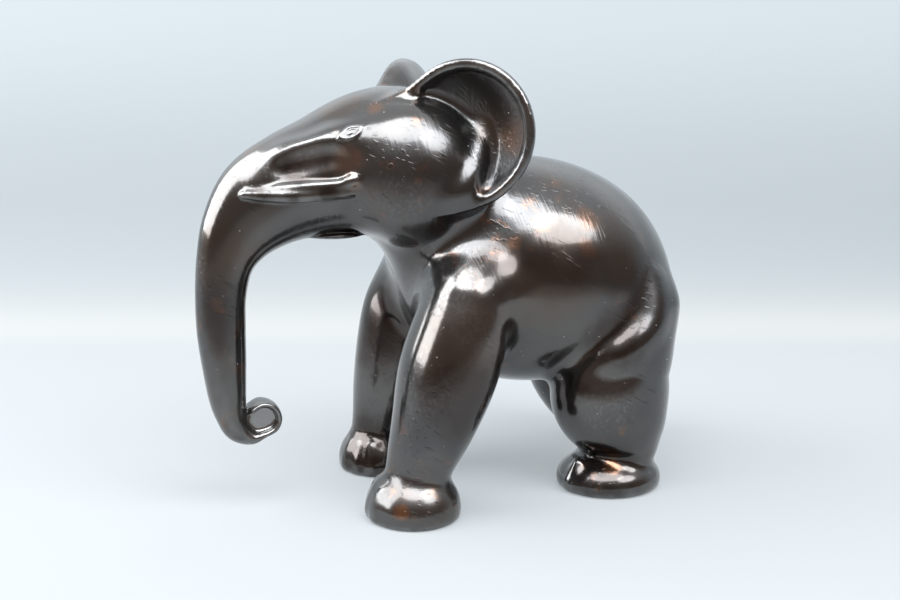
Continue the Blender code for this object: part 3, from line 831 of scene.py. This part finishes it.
class GlazeMaterials:
    """Builds the materials, with the effects that they share as node groups."""

    def __init__(self, origin: Vector) -> None:
        self.origin = origin
        self.patch = self._patch_group()
        self.relief = self._relief_group()

    def _patch_group(self) -> bpy.types.NodeTree:
        """A soft, ragged round mask about a centre."""
        tree, shader, given, result = new_group(
            "Soft patch", {"Vector": "NodeSocketVector", "Centre": "NodeSocketVector",
                           "Radius": "NodeSocketFloat", "Strength": "NodeSocketFloat",
                           "Speckle": "NodeSocketFloat"},
            {"Mask": "NodeSocketFloat"})
        gap = shader.add("ShaderNodeVectorMath", operation="DISTANCE")
        shader.feed(gap.inputs[0], given.outputs["Vector"])
        shader.feed(gap.inputs[1], given.outputs["Centre"])
        reach = shader.math("DIVIDE", gap.outputs["Value"], given.outputs["Radius"])
        ragged = shader.noise(given.outputs["Vector"], 45.0, 3.0, 0.6)
        reach = shader.math("ADD", reach, shader.math("MULTIPLY_ADD", ragged, 0.9, -0.45))
        mask = shader.band(reach, 1.0, 0.35)
        fine = shader.band(shader.noise(given.outputs["Vector"], 380.0, 3.0, 0.7), 0.48, 0.64)
        loss = shader.math("SUBTRACT", 1.0, fine)
        loss = shader.math("MULTIPLY", loss, given.outputs["Speckle"])
        mask = shader.math("MULTIPLY", mask, shader.math("SUBTRACT", 1.0, loss))
        mask = shader.math("MULTIPLY", mask, given.outputs["Strength"])
        shader.feed(result.inputs["Mask"], mask)
        return tree

    def _relief_group(self) -> bpy.types.NodeTree:
        """Fine streaks, hatching and pits: their height in metres, dull places and lines."""
        tree, shader, given, result = new_group(
            "Glaze relief", {"Vector": "NodeSocketVector", "Streaks": "NodeSocketFloat",
                             "Hatching": "NodeSocketFloat", "Pits": "NodeSocketFloat"},
            {"Height": "NodeSocketFloat", "Dull": "NodeSocketFloat",
             "Lines": "NodeSocketFloat"})
        vector = given.outputs["Vector"]
        streak = shader.noise(
            shader.stretched(vector, RELIEF.streak_turn, RELIEF.streak_stretch),
            RELIEF.streak_scale, 2.0, 0.6)
        hatch = shader.noise(
            shader.stretched(vector, RELIEF.hatch_turn, RELIEF.hatch_stretch),
            RELIEF.hatch_scale, 1.0, 0.5)
        hatch = shader.band(hatch, 0.60, 0.72)
        patchy = shader.band(shader.noise(vector, RELIEF.hatch_area_scale, 1.0), 0.38, 0.66)
        pit = shader.add("ShaderNodeTexVoronoi", feature="F1")
        shader.feed(pit.inputs["Vector"], vector)
        pit.inputs["Scale"].default_value = RELIEF.pit_scale
        hole = shader.band(pit.outputs["Distance"], 0.02, 0.075, (-1.0, 0.0))
        rare = shader.band(shader.noise(vector, RELIEF.pit_area_scale, 1.0), 0.60, 0.64)
        streaks = shader.math("MULTIPLY", streak, given.outputs["Streaks"])
        lines = shader.math("MULTIPLY", hatch, patchy)
        hatching = shader.math("MULTIPLY", lines, given.outputs["Hatching"])
        pits = shader.math("MULTIPLY", hole, rare)
        pits = shader.math("MULTIPLY", pits, given.outputs["Pits"])
        height = shader.math("ADD", shader.math("ADD", streaks, hatching), pits)
        shader.feed(result.inputs["Height"], height)
        shader.feed(result.inputs["Dull"], patchy)
        shader.feed(result.inputs["Lines"], lines)
        return tree

    def glaze(self, finish: GlazeFinish) -> bpy.types.Material:
        """The lustre glaze: dark metal sheen with brown and copper patches, painted shade and a
        painted highlight, and fine scratches.

        Args:
            finish: Its fixed values.

        Returns:
            The material.
        """
        material = bpy.data.materials.new(finish.name)
        material.use_nodes = True
        shader = Shader(material.node_tree)
        surface = material.node_tree.nodes["Principled BSDF"]
        surface.inputs["Metallic"].default_value = finish.metallic
        surface.inputs["Coat Weight"].default_value = finish.coat
        surface.inputs["Coat Roughness"].default_value = finish.coat_roughness
        vector = shader.add("ShaderNodeTexCoord").outputs["Object"]

        clouds = shader.band(shader.noise(vector, finish.cloud_scale, 3.0, 0.55), 0.38, 0.66)
        colour = shader.mix(clouds, Tone.BRONZE.value, Tone.SMOKE.value)
        stains = shader.band(shader.noise(vector, finish.stain_scale, 4.0, 0.6), 0.55, 0.78)
        colour = shader.mix(stains, colour, Tone.BROWN.value)
        # Tones of the glaze, painted shade and a painted highlight, one patch after another.
        for patch in TONE_SHADE_AND_HIGHLIGHT_PATCHES:
            node = shader.add("ShaderNodeGroup", node_tree=self.patch)
            shader.feed(node.inputs["Vector"], vector)
            node.inputs["Centre"].default_value = Vector(patch.centre) * MM - self.origin
            node.inputs["Radius"].default_value = patch.radius * MM
            node.inputs["Strength"].default_value = patch.strength
            node.inputs["Speckle"].default_value = patch.speckle
            colour = shader.mix(node.outputs["Mask"], colour, patch.tone.value)
        fleck = shader.math(
            "MULTIPLY",
            shader.band(shader.noise(vector, finish.fleck_scale, 4.0, 0.6), 0.55, 0.72),
            shader.band(shader.noise(vector, finish.fleck_area_scale, 1.0), 0.48, 0.62))
        fleck = shader.math("MULTIPLY", fleck, finish.fleck_share)
        colour = shader.mix(fleck, colour, Tone.COPPER.value)
        edge = shader.add("ShaderNodeAttribute", attribute_name="edge").outputs["Fac"]
        worn = shader.math("MULTIPLY", shader.band(edge, 0.16, 0.5),
                           shader.band(shader.noise(vector, finish.wear_scale, 3.0), 0.3, 0.6))
        worn = shader.math("MULTIPLY", worn, finish.wear_share)
        colour = shader.mix(worn, colour, Tone.PEWTER_AND_SHEEN.value)
        relief = shader.add("ShaderNodeGroup", node_tree=self.relief)
        shader.feed(relief.inputs["Vector"], vector)
        lines = shader.math("MULTIPLY", relief.outputs["Lines"], finish.line_share)
        shader.feed(surface.inputs["Base Color"], shader.mix(lines, colour, Tone.UMBER_AND_SHADE.value))
        high = shader.add("ShaderNodeSeparateXYZ")
        shader.feed(high.inputs[0], vector)
        depths = finish.low_streaks * finish.streak_depth, finish.streak_depth
        shader.feed(relief.inputs["Streaks"], shader.band(high.outputs["Z"], 0.13, 0.2, depths))
        relief.inputs["Hatching"].default_value = finish.hatch_depth
        relief.inputs["Pits"].default_value = finish.pit_depth
        bump = shader.add("ShaderNodeBump")
        bump.inputs["Strength"].default_value = 1.0
        bump.inputs["Distance"].default_value = 1.0
        shader.feed(bump.inputs["Height"], relief.outputs["Height"])
        shader.feed(surface.inputs["Normal"], bump.outputs["Normal"])
        shade = shader.math("MULTIPLY", shader.noise(vector, finish.dull_scale, 2.0, 0.5),
                            1.0 - finish.dull_share)
        shade = shader.math("MULTIPLY_ADD", relief.outputs["Dull"], finish.dull_share, shade)
        shader.feed(surface.inputs["Roughness"], shader.band(shade, 0.1, 0.9, finish.roughness))
        return material

    def plain(self, finish: PlainFinish) -> bpy.types.Material:
        """An even material with a little tone variation."""
        material = bpy.data.materials.new(finish.name)
        material.use_nodes = True
        shader = Shader(material.node_tree)
        surface = material.node_tree.nodes["Principled BSDF"]
        vector = shader.add("ShaderNodeTexCoord").outputs["Object"]
        darker = tuple(0.93 * part for part in finish.colour[:3]) + (1.0,)
        shader.feed(surface.inputs["Base Color"],
                    shader.mix(shader.noise(vector, 40.0, 2.0), finish.colour, darker))
        surface.inputs["Roughness"].default_value = finish.roughness
        return material


# ---------------------------------------------------------------------------
# Grains on the glaze
# ---------------------------------------------------------------------------
class GrainScatter:
    """Scatters small flattened grains over a skin with Geometry Nodes."""

    FLATNESS = 0.4

    def __init__(self) -> None:
        self.tree = bpy.data.node_groups.new("Scatter grains", "GeometryNodeTree")
        self.sockets: dict[str, str] = {}
        for label, side, kind in (
                ("Geometry", "INPUT", "NodeSocketGeometry"),
                ("Density", "INPUT", "NodeSocketFloat"),
                ("Smallest", "INPUT", "NodeSocketFloat"), ("Largest", "INPUT", "NodeSocketFloat"),
                ("Seed", "INPUT", "NodeSocketInt"), ("Material", "INPUT", "NodeSocketMaterial"),
                ("Geometry", "OUTPUT", "NodeSocketGeometry")):
            socket = self.tree.interface.new_socket(label, in_out=side, socket_type=kind)
            if side == "INPUT":
                self.sockets[label] = socket.identifier
        self._build()

    def _build(self) -> None:
        """Points on the skin, a grain on each, realised, with one material."""
        nodes, links = self.tree.nodes, self.tree.links
        given, result = nodes.new("NodeGroupInput"), nodes.new("NodeGroupOutput")
        spread = nodes.new("GeometryNodeDistributePointsOnFaces")
        links.new(given.outputs["Geometry"], spread.inputs["Mesh"])
        links.new(self._off_the_soles(), spread.inputs["Selection"])
        links.new(given.outputs["Density"], spread.inputs["Density"])
        links.new(given.outputs["Seed"], spread.inputs["Seed"])
        size = nodes.new("FunctionNodeRandomValue")
        links.new(given.outputs["Smallest"], size.inputs[2])
        links.new(given.outputs["Largest"], size.inputs[3])
        links.new(given.outputs["Seed"], size.inputs["Seed"])
        flat = nodes.new("ShaderNodeCombineXYZ")
        flatten = nodes.new("ShaderNodeMath")
        flatten.operation = "MULTIPLY"
        flatten.inputs[1].default_value = self.FLATNESS
        links.new(size.outputs[1], flatten.inputs[0])
        for socket, source in zip(flat.inputs, (size.outputs[1], size.outputs[1],
                                                flatten.outputs[0])):
            links.new(source, socket)
        ball = nodes.new("GeometryNodeMeshIcoSphere")
        ball.inputs["Radius"].default_value = 1.0
        ball.inputs["Subdivisions"].default_value = 1
        place = nodes.new("GeometryNodeInstanceOnPoints")
        links.new(spread.outputs["Points"], place.inputs["Points"])
        links.new(spread.outputs["Rotation"], place.inputs["Rotation"])
        links.new(ball.outputs["Mesh"], place.inputs["Instance"])
        links.new(flat.outputs[0], place.inputs["Scale"])
        real = nodes.new("GeometryNodeRealizeInstances")
        links.new(place.outputs[0], real.inputs[0])
        paint = nodes.new("GeometryNodeSetMaterial")
        links.new(real.outputs[0], paint.inputs["Geometry"])
        links.new(given.outputs["Material"], paint.inputs["Material"])
        links.new(paint.outputs[0], result.inputs[0])

    def _off_the_soles(self, lowest: float = 0.002) -> bpy.types.NodeSocket:
        """Which places are higher than the soles."""
        nodes, links = self.tree.nodes, self.tree.links
        split, above = nodes.new("ShaderNodeSeparateXYZ"), nodes.new("FunctionNodeCompare")
        links.new(nodes.new("GeometryNodeInputPosition").outputs[0], split.inputs[0])
        above.data_type, above.operation = "FLOAT", "GREATER_THAN"
        links.new(split.outputs["Z"], above.inputs[0])
        above.inputs[1].default_value = lowest
        return above.outputs[0]

    def scatter(self, ground: bpy.types.Object, scatter: Scatter,
                material: bpy.types.Material) -> bpy.types.Object:
        """Make the grains as a plain mesh object.

        Args:
            ground: The skin that they lie on.
            scatter: How many there are, and how large.
            material: What they are made of.

        Returns:
            The object that holds all of them.
        """
        name = f"grains_{scatter.grain.value}"
        carrier = bpy.data.objects.new(name, ground.data)
        bpy.context.scene.collection.objects.link(carrier)
        modifier = carrier.modifiers.new("Scatter", "NODES")
        modifier.node_group = self.tree
        for label, value in (("Density", scatter.density), ("Smallest", scatter.size[0] * MM),
                             ("Largest", scatter.size[1] * MM), ("Seed", scatter.seed),
                             ("Material", material)):
            modifier[self.sockets[label]] = value
        graph = bpy.context.evaluated_depsgraph_get()
        mesh = bpy.data.meshes.new_from_object(carrier.evaluated_get(graph))
        carrier.modifiers.clear()
        carrier.data = mesh
        mesh.name = name
        return carrier


# ---------------------------------------------------------------------------
# The figure
# ---------------------------------------------------------------------------
@dataclass(frozen=True)
class FineZone:
    """A ball round fine detail, on both sides of the figure, where the skin is made denser."""

    centre: Vec3
    radius: float
    cuts: int


FINE_ZONES = (
    FineZone((31.0, -66.0, 221.0), 40.0, 1),
    FineZone((40.0, -35.0, 254.0), 13.0, 2),
    FineZone((0.0, -88.7, 62.2), 20.0, 1),
    FineZone((0.0, -36.0, 187.0), 26.0, 1),
)


@dataclass
class Figure:
    """The dressed elephant: its glazed skin and the grains on it.

    Attributes:
        low: Lowest corner of the CAD solid, in metres.
        high: Highest corner of the CAD solid, in metres.
        step: Grid spacing of the skin, in millimetres.
        origin: Where the part's own origin lies among the forms, in metres.
    """

    low: Vector
    high: Vector
    step: float = SKIN_STEP
    origin: Vector = field(init=False)

    def build(self) -> list[bpy.types.Object]:
        """Make every piece.

        Returns:
            The pieces, the skin first.
        """
        net = SurfaceNet(Elephant(), self.step)
        mesh = self._refined(net, *net.skin())
        vertices = np.empty(3 * len(mesh.vertices))
        mesh.vertices.foreach_get("co", vertices)
        vertices = net.settle(vertices.reshape(-1, 3))
        edge = self._edges(net.form, vertices)
        mesh.vertices.foreach_set("co", self._fitted(vertices).ravel())
        mesh.polygons.foreach_set("use_smooth", [True] * len(mesh.polygons))
        layer = mesh.attributes.new("edge", "FLOAT", "POINT")
        layer.data.foreach_set("value", edge.astype(np.float32))
        materials = GlazeMaterials(self.origin)
        mesh.materials.append(materials.glaze(GLAZE))
        skin = bpy.data.objects.new("elephant_skin", mesh)
        bpy.context.scene.collection.objects.link(skin)
        LOG.info("skin: %d faces", len(mesh.polygons))
        spread = GrainScatter()
        grains = [spread.scatter(skin, scatter, materials.plain(scatter.finish))
                  for scatter in SCATTERS]
        return [skin, *grains]

    @staticmethod
    def _refined(net: SurfaceNet, vertices: np.ndarray, quads: np.ndarray) -> bpy.types.Mesh:
        """A mesh of the skin in millimetres, with more faces in the fine zones."""
        mesh = bpy.data.meshes.new("elephant_skin")
        mesh.from_pydata(vertices.tolist(), [], quads.tolist())
        bm = bmesh.new()
        bm.from_mesh(mesh)
        for zone in FINE_ZONES:
            centre = Vector(zone.centre)
            inside = {vertex for vertex in bm.verts
                      if (Vector((abs(vertex.co.x), *vertex.co.yz)) - centre).length < zone.radius}
            edges = [edge for edge in bm.edges if inside.issuperset(edge.verts)]
            bmesh.ops.subdivide_edges(bm, edges=edges, cuts=zone.cuts, use_grid_fill=True)
        bm.to_mesh(mesh)
        bm.free()
        return mesh

    @staticmethod
    def _edges(form: Form, vertices: np.ndarray, reach: float = 3.0) -> np.ndarray:
        """How sharply the surface bends outwards at each vertex."""
        bend = sum(form.distance(vertices + axis) + form.distance(vertices - axis)
                   for axis in reach * np.eye(3))
        return np.clip(bend / reach, -1.0, 1.0)

    def _fitted(self, vertices: np.ndarray) -> np.ndarray:
        """Vertices in metres, in the part's frame, just inside the solid's box."""
        vertices = vertices * MM
        low, high = vertices.min(axis=0), vertices.max(axis=0)
        room_low, room_high = np.array(self.low), np.array(self.high)
        scale = np.minimum(1.0, (room_high - room_low) / (high - low))
        middle = (low + high) / 2
        target = (room_low + room_high) / 2
        middle[2], target[2] = low[2], room_low[2]
        self.origin = Vector(middle - target)
        return (vertices - middle) * scale + target


# ---------------------------------------------------------------------------
# Studio
# ---------------------------------------------------------------------------
class LampShape(Enum):
    """Outlines of a soft light."""

    RECTANGLE = "RECTANGLE"
    ELLIPSE = "ELLIPSE"


@dataclass(frozen=True)
class Softbox:
    """A soft light that faces the figure, with its sizes in metres and its power in watts.

    Angles are in degrees: azimuth 0 is in front of the elephant and 90 is at its left side.
    """

    name: str
    azimuth: float
    elevation: float
    distance: float
    width: float
    height: float
    power: float
    shape: LampShape
    colour: Vec3 = (0.93, 0.965, 1.0)


@dataclass(frozen=True)
class CameraPlace:
    """Where the camera stands and where it looks, in metres and degrees."""

    position: Vec3
    heading: float
    dip: float
    lens: float


SOFTBOXES = (
    Softbox("window", -17.0, 32.0, 1.5, 1.35, 1.4, 48.0, LampShape.RECTANGLE),
    Softbox("side", 120.0, 42.0, 1.7, 1.05, 0.8, 19.0, LampShape.ELLIPSE),
    Softbox("ceiling", 70.0, 64.0, 1.5, 1.75, 1.12, 40.0, LampShape.ELLIPSE),
)
FAR_SIDE = (-0.9205, 0.3907, 0.0)
CAMERA_SIDE = (0.92, -0.39, 0.0)
SWEEP_PROFILE = (
    (0.36, 0.0005), (0.50, 0.0005), (0.535, 0.003), (0.57, 0.010), (0.605, 0.024),
    (0.635, 0.046), (0.66, 0.08), (0.675, 0.12), (0.685, 0.2), (0.69, 0.4), (0.69, 1.6))
# The cards glow. Their colours paint a pool of light where the backdrop begins, shade in its bend,
# a glow high up and shade on the floor towards the camera.
CARD_GLOW, CARD_ROUGHNESS = 0.58, 0.9
CARD_NEAR = (0.83, 0.90, 0.95, 1.0)
CARD_PAINTED_POOL = (0.95, 1.0, 1.0, 1.0)
CARD_PAINTED_BEND_SHADE = (0.56, 0.66, 0.71, 1.0)
CARD_TOP = (0.83, 0.95, 1.03, 1.0)
CARD_PAINTED_GLOW_HIGH = (1.9, 2.05, 2.15, 1.0)
CARD_PAINTED_FRONT_SHADE = (0.13, 0.115, 0.105, 1.0)
CARD_TABLE = (0.50, 0.555, 0.59, 1.0)
CARD_PALE, CARD_DARK = (0.18, 0.184, 0.186, 1.0), (0.12, 0.122, 0.124, 1.0)
ROOM_FAR, ROOM_NEAR = (0.62, 0.70, 0.76, 1.0), (0.22, 0.155, 0.12, 1.0)
ROOM_ABOVE = (1.1, 1.15, 1.2, 1.0)
CAMERA = CameraPlace((747.3, -266.8, 300.0), 23.0, 11.67, 46.48)


class Studio:
    """The table, the light and the camera."""

    def __init__(self, origin: Vector) -> None:
        self.origin = origin
        self.target = Vector((0.0, 0.0, 0.14))

    def build(self) -> None:
        """Set up everything round the figure."""
        self._floor()
        self._sweep()
        self._surroundings()
        for softbox in SOFTBOXES:
            self._light(softbox)
        self._camera(CAMERA)

    def _floor(self, radius: float = 6.0, sides: int = 96) -> None:
        """A wide round table top."""
        turns = [2 * math.pi * side / sides for side in range(sides)]
        ring = [(radius * math.cos(turn), radius * math.sin(turn), 0.0) for turn in turns]
        mesh = bpy.data.meshes.new("table_top")
        mesh.from_pydata(ring, [], [list(range(sides))])
        mesh.materials.append(self._card("table_card", one_sided=False))
        floor = bpy.data.objects.new("table_top", mesh)
        bpy.context.scene.collection.objects.link(floor)
        floor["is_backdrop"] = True

    def _sweep(self, half_width: float = 2.2) -> None:
        """A backdrop that curves up behind the figure, seen from its front only."""
        side = Vector((FAR_SIDE[1], -FAR_SIDE[0], 0.0))
        vertices = [Vector(FAR_SIDE) * ahead + side * across + Vector((0.0, 0.0, height))
                    for ahead, height in SWEEP_PROFILE for across in (-half_width, half_width)]
        faces = [(row, row + 1, row + 3, row + 2) for row in range(0, len(vertices) - 2, 2)]
        mesh = bpy.data.meshes.new("backdrop")
        mesh.from_pydata(vertices, [], faces)
        mesh.polygons.foreach_set("use_smooth", [True] * len(faces))
        mesh.materials.append(self._card("backdrop_card", one_sided=True))
        backdrop = bpy.data.objects.new("backdrop", mesh)
        bpy.context.scene.collection.objects.link(backdrop)
        backdrop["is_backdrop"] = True

    def _card(self, name: str, one_sided: bool) -> bpy.types.Material:
        """Pale card that glows, with a painted pool of light where the backdrop begins, painted
        shade in its bend, a painted glow higher up and painted shade on the floor towards the
        camera.

        Args:
            name: Name of the material.
            one_sided: Whether its back is clear.

        Returns:
            The material.
        """
        material = bpy.data.materials.new(name)
        material.use_nodes = True
        shader = Shader(material.node_tree)
        surface = material.node_tree.nodes["Principled BSDF"]
        vector = shader.add("ShaderNodeTexCoord").outputs["Object"]
        ahead = shader.add("ShaderNodeVectorMath", operation="DOT_PRODUCT")
        shader.feed(ahead.inputs[0], vector)
        ahead.inputs[1].default_value = FAR_SIDE
        height = shader.add("ShaderNodeSeparateXYZ")
        shader.feed(height.inputs[0], vector)
        ahead = ahead.outputs["Value"]
        # Painted shade: the floor grows dark towards the camera.
        near, before = shader.band(ahead, -0.10, 0.34), shader.band(ahead, -0.66, -0.22)
        colour = shader.mix(near, shader.mix(before, CARD_PAINTED_FRONT_SHADE, CARD_TABLE), CARD_NEAR)
        shader.feed(surface.inputs["Base Color"],
                    shader.mix(near, shader.mix(before, CARD_PAINTED_FRONT_SHADE, CARD_PALE), CARD_DARK))
        if one_sided:
            # Painted pool of light at the foot of the backdrop, painted shade in its bend, and a
            # painted glow higher up.
            colour = shader.mix(shader.band(ahead, 0.36, 0.48), CARD_NEAR, CARD_PAINTED_POOL)
            colour = shader.mix(shader.band(ahead, 0.49, 0.66), colour, CARD_PAINTED_BEND_SHADE)
            colour = shader.mix(shader.band(height.outputs["Z"], 0.08, 0.40), colour, CARD_TOP)
            colour = shader.mix(shader.band(height.outputs["Z"], 0.42, 0.9), colour, CARD_PAINTED_GLOW_HIGH)
        shader.feed(surface.inputs["Emission Color"], colour)
        surface.inputs["Emission Strength"].default_value = CARD_GLOW
        surface.inputs["Roughness"].default_value = CARD_ROUGHNESS
        surface.inputs["Specular IOR Level"].default_value = 0.0
        if one_sided:
            clear = shader.add("ShaderNodeBsdfTransparent")
            choice = shader.add("ShaderNodeMixShader")
            behind = shader.add("ShaderNodeNewGeometry").outputs["Backfacing"]
            shader.feed(choice.inputs[0], behind)
            shader.feed(choice.inputs[1], surface.outputs[0])
            shader.feed(choice.inputs[2], clear.outputs[0])
            shader.feed(material.node_tree.nodes["Material Output"].inputs[0], choice.outputs[0])
        return material

    def _surroundings(self) -> None:
        """A pale room all round, dimmer on the side of the camera and brightest overhead."""
        world = bpy.data.worlds.new("studio")
        world.use_nodes = True
        bpy.context.scene.world = world
        shader = Shader(world.node_tree)
        direction = shader.add("ShaderNodeTexCoord").outputs["Generated"]
        toward = shader.add("ShaderNodeVectorMath", operation="DOT_PRODUCT")
        shader.feed(toward.inputs[0], direction)
        toward.inputs[1].default_value = CAMERA_SIDE
        share = shader.band(toward.outputs["Value"], -0.35, 0.25)
        colour = shader.mix(share, ROOM_FAR, ROOM_NEAR)
        height = shader.add("ShaderNodeSeparateXYZ")
        shader.feed(height.inputs[0], direction)
        colour = shader.mix(shader.band(height.outputs["Z"], 0.3, 0.95), colour, ROOM_ABOVE)
        shader.feed(world.node_tree.nodes["Background"].inputs["Color"], colour)
        world.node_tree.nodes["Background"].inputs["Strength"].default_value = 1.0

    def _light(self, softbox: Softbox) -> None:
        """Hang one softbox."""
        lamp = bpy.data.lights.new(softbox.name, "AREA")
        lamp.shape = softbox.shape.value
        lamp.size, lamp.size_y = softbox.width, softbox.height
        lamp.energy = softbox.power
        lamp.color = softbox.colour
        holder = bpy.data.objects.new(softbox.name, lamp)
        azimuth, elevation = math.radians(softbox.azimuth), math.radians(softbox.elevation)
        away = Vector((math.sin(azimuth) * math.cos(elevation),
                       -math.cos(azimuth) * math.cos(elevation), math.sin(elevation)))
        holder.location = self.target + away * softbox.distance
        holder.rotation_euler = away.to_track_quat("Z", "Y").to_euler()
        holder.visible_camera = False
        bpy.context.scene.collection.objects.link(holder)

    def _camera(self, place: CameraPlace) -> None:
        """Stand the camera up."""
        lens = bpy.data.cameras.new("camera")
        lens.lens, lens.sensor_width = place.lens, 36.0
        lens.clip_start, lens.clip_end = 0.05, 30.0
        camera = bpy.data.objects.new("camera", lens)
        camera.location = Vector(place.position) * MM - self.origin
        camera.rotation_euler = (math.radians(90.0 - place.dip), 0.0,
                                 math.radians(90.0 - place.heading))
        bpy.context.scene.collection.objects.link(camera)
        bpy.context.scene.camera = camera


# ---------------------------------------------------------------------------
# Putting it together
# ---------------------------------------------------------------------------
def main() -> None:
    """Dress the part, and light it."""
    logging.basicConfig(level=logging.INFO, format="%(name)s: %(message)s")
    low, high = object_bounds()
    node = "elephant"
    figure = Figure(low, high, SKIN_STEP)
    pieces = figure.build()
    for piece in pieces:
        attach(piece, "root")
    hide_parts(node)
    Studio(figure.origin).build()
    bpy.context.scene.view_settings.view_transform = "Standard"
    bpy.context.view_layer.update()
    low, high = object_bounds()


if __name__ == "__main__":
    main()
